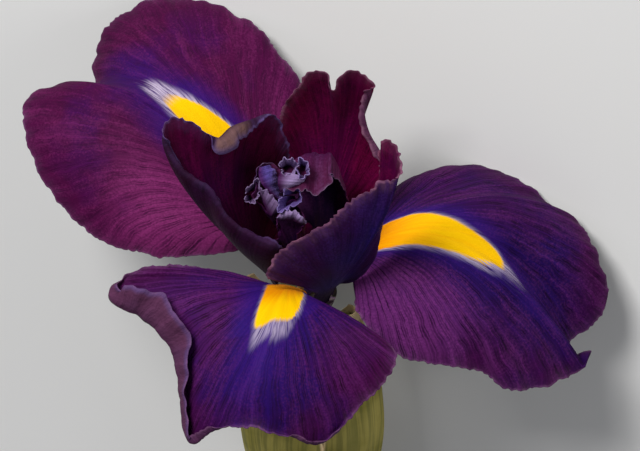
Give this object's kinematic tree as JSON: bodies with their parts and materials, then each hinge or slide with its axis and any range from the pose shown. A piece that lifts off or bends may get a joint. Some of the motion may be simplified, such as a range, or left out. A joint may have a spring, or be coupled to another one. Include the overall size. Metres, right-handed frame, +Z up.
{
  "type": "iris flower",
  "caption": "cut iris bloom with broad drooping outer petals, an upright inner cup, crested style arms, an ovary in papery spathes and a cut length of stem, lying down",
  "frame": {"origin": "middle of the bounding box on the surface that the flower lies on", "axes": "+Z up from the surface, the bloom faces -Y and the stem runs towards +Y, slightly down, along the longest extent"},
  "size_m": [0.1048, 0.1646, 0.0652],
  "materials": {
    "fall_petal": "velvety purple petal with dark veins, a yellow and white signal and a paler crinkled rim",
    "standard_petal": "velvety maroon petal, violet outside",
    "style": "soft lavender blue petal flesh",
    "stamen": "matt cream pollen sac",
    "tube": "satin yellow-green plant flesh",
    "green_flesh": "satin olive green plant flesh",
    "spathe": "matt green leaf drying to tan paper at the tip"
  },
  "bodies": {
    "root": {"fall_left": "fall_petal", "fall_right": "fall_petal", "fall_front": "fall_petal", "standard_left": "standard_petal", "standard_back": "standard_petal", "standard_front": "standard_petal", "style_arm_left": "style", "style_arm_right": "style", "style_arm_front": "style", "style_column": "style", "stamen_left": "stamen", "stamen_right": "stamen", "stamen_front": "stamen", "perianth_tube": "tube", "ovary": "green_flesh", "spathe_outer": "spathe", "spathe_inner": "spathe", "stem": "green_flesh"}
  },
  "joints": []
}
